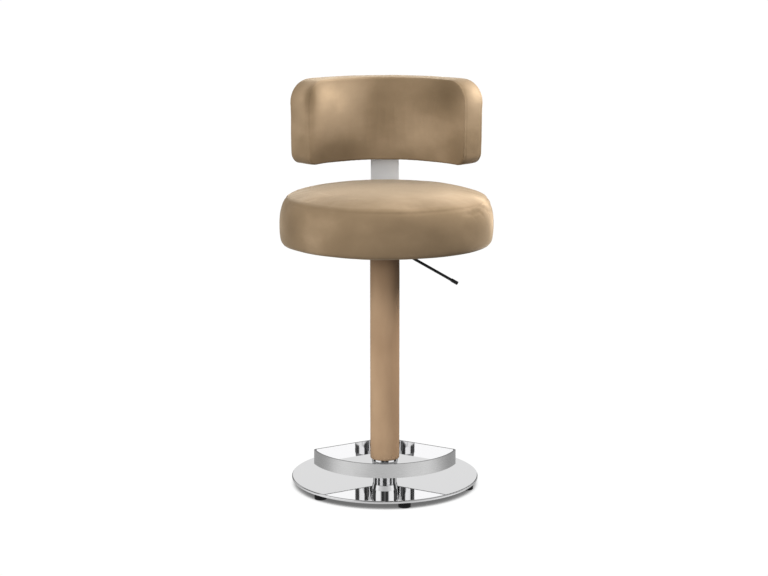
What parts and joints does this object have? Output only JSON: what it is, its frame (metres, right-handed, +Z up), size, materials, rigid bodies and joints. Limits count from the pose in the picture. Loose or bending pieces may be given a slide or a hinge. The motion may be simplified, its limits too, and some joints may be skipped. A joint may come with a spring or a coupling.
{
  "type": "gas-lift stylist stool",
  "caption": "Height-adjustable round stool with a low curved backrest, wrapped column, footrest ring, release lever and a round floor plate on rubber feet.",
  "frame": {"origin": "on the floor, on the column's axis, under the middle of the floor plate", "axes": "+Z up along the column; the sitter faces -Y and the backrest is at +Y; +X is the sitter's left, where the release lever is"},
  "size_m": [0.452, 0.4595, 0.857],
  "materials": {
    "chrome_plate": "mirror polished",
    "satin_steel": "satin brushed",
    "chrome_tube": "polished",
    "wrap_fabric": "matt velvet",
    "seat_fabric": "matt velvet",
    "foam": "open-cell foam",
    "black_rubber": "matt",
    "black_steel": "satin powder coat",
    "black_plastic": "fine texture",
    "nylon": "natural nylon",
    "plated_steel": "zinc plated",
    "plywood": "raw plywood",
    "dust_cloth": "non-woven cloth"
  },
  "bodies": {
    "base": {"floor_plate": "chrome_plate", "column_flange": "black_steel", "flange_screws": "plated_steel", "foot_screws": "plated_steel", "foot_1": "black_rubber", "foot_2": "black_rubber", "foot_3": "black_rubber", "foot_4": "black_rubber", "foot_5": "black_rubber", "foot_6": "black_rubber", "base_tube": "chrome_tube", "column_guide": "black_plastic", "lower_race": "plated_steel", "bearing_balls": "chrome_tube", "ball_cage": "nylon"},
    "rod": {"piston_rod": "chrome_tube", "upper_race": "plated_steel", "piston": "plated_steel", "rod_clip": "plated_steel", "buffer_collar": "black_plastic", "spring_buffer": "black_rubber"},
    "seat": {"spring_cylinder": "black_steel", "spring_gland": "plated_steel", "stroke_spacer": "nylon", "outer_tube": "chrome_tube", "end_ring": "chrome_tube", "lower_bush": "black_plastic", "column_wrap": "wrap_fabric", "taper_socket": "black_steel", "mechanism_bracket": "black_steel", "seat_plate": "black_steel", "seat_bolts": "plated_steel", "lever_pivot_pin": "black_steel", "dust_cover": "dust_cloth", "seat_board": "plywood", "seat_tee_nuts": "plated_steel", "seat_foam": "foam", "seat_cover": "seat_fabric", "back_bar": "satin_steel", "bar_bolts": "plated_steel", "back_board": "plywood", "back_tee_nuts": "plated_steel", "back_bolts": "chrome_tube", "back_foam": "foam", "back_cover": "seat_fabric", "footrest_ring": "satin_steel", "footrest_saddle": "chrome_tube", "footrest_screws": "chrome_tube"},
    "lever": {"lever_hub": "black_steel", "lever_rod": "black_steel", "lever_grip": "black_plastic"},
    "valve": {"valve_pin": "plated_steel"}
  },
  "joints": [
    {"name": "swivel", "type": "hinge", "parent": "base", "child": "rod", "pos_m": [0, 0, 0.02], "axis": [0, 0, 1], "continuous": true},
    {"name": "lift", "type": "slide", "parent": "rod", "child": "seat", "axis": [0, 0, 1], "range_m": [0, 0.2]},
    {"name": "lever_lift", "type": "hinge", "parent": "seat", "child": "lever", "pos_m": [0.024, 0, 0.5096], "axis": [0, -1, 0], "range_deg": [0, 8], "stiffness_Nm_per_rad": 2},
    {"name": "valve_press", "type": "slide", "parent": "seat", "child": "valve", "axis": [0, 0, -1], "range_m": [0, 0.004]}
  ],
  "couplings": [
    {"joint": "valve_press", "follows": "lever_lift", "m_per_rad": 0.0265}
  ]
}
